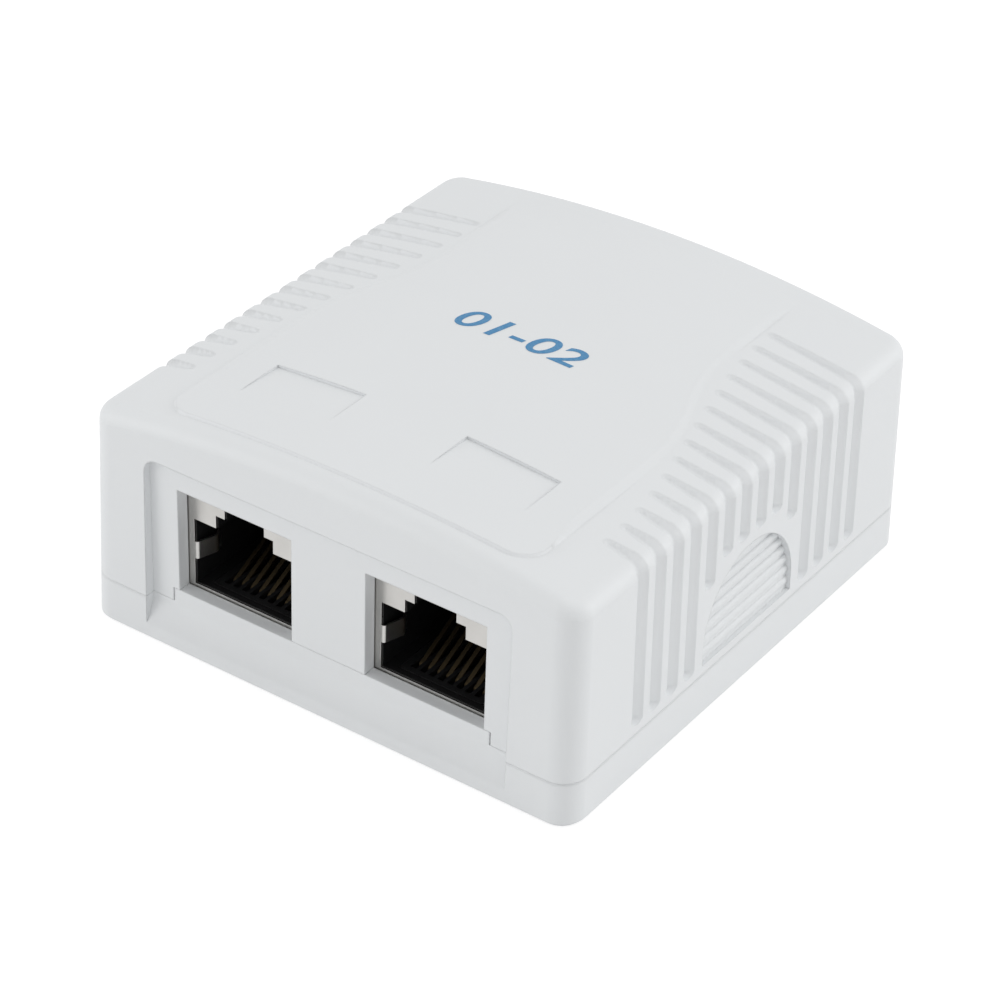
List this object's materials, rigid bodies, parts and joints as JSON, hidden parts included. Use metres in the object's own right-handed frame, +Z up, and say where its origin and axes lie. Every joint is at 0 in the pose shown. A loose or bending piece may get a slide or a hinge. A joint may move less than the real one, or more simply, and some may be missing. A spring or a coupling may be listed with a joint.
{
  "type": "surface mount jack box",
  "caption": "Low white box with two shielded modular jack ports in its front, grooved sides with finger grips, a clip-on cover and a cable entry at the rear.",
  "frame": {"origin": "middle of the underside", "axes": "+Z up away from the mounting surface, the ports face -Y, the cable entry is at +Y, +X to the right seen from the ports"},
  "size_m": [0.0554, 0.0584, 0.0262],
  "materials": {
    "case_white": "fine matt",
    "board_green": "solder mask",
    "screw_steel": "zinc plated",
    "strip_steel": "tinned",
    "clamp_steel": "zinc plated",
    "jack_black": "moulded",
    "shield_nickel": "nickel plated",
    "carrier_plastic": "moulded",
    "block_white": "moulded",
    "contact_gold": "gold plated",
    "blade_tin": "tinned bronze"
  },
  "bodies": {
    "base": {"base_plate": "case_white", "circuit_board": "board_green", "board_screws": "screw_steel", "ground_strip": "strip_steel", "cable_clamp": "clamp_steel", "clamp_screws": "screw_steel", "left_jack_housing": "jack_black", "left_jack_shield": "shield_nickel", "left_contact_carrier": "carrier_plastic", "left_terminal_block": "block_white", "left_contact_1": "contact_gold", "left_blade_1": "blade_tin", "left_contact_2": "contact_gold", "left_blade_2": "blade_tin", "left_contact_3": "contact_gold", "left_blade_3": "blade_tin", "left_contact_4": "contact_gold", "left_blade_4": "blade_tin", "left_contact_5": "contact_gold", "left_blade_5": "blade_tin", "left_contact_6": "contact_gold", "left_blade_6": "blade_tin", "left_contact_7": "contact_gold", "left_blade_7": "blade_tin", "left_contact_8": "contact_gold", "left_blade_8": "blade_tin", "right_jack_housing": "jack_black", "right_jack_shield": "shield_nickel", "right_contact_carrier": "carrier_plastic", "right_terminal_block": "block_white", "right_contact_1": "contact_gold", "right_blade_1": "blade_tin", "right_contact_2": "contact_gold", "right_blade_2": "blade_tin", "right_contact_3": "contact_gold", "right_blade_3": "blade_tin", "right_contact_4": "contact_gold", "right_blade_4": "blade_tin", "right_contact_5": "contact_gold", "right_blade_5": "blade_tin", "right_contact_6": "contact_gold", "right_blade_6": "blade_tin", "right_contact_7": "contact_gold", "right_blade_7": "blade_tin", "right_contact_8": "contact_gold", "right_blade_8": "blade_tin"},
    "cover": {"cover": "case_white"}
  },
  "joints": [
    {"name": "cover_lift", "type": "slide", "parent": "base", "child": "cover", "axis": [0, 0, 1], "range_m": [0, 0.03]}
  ]
}
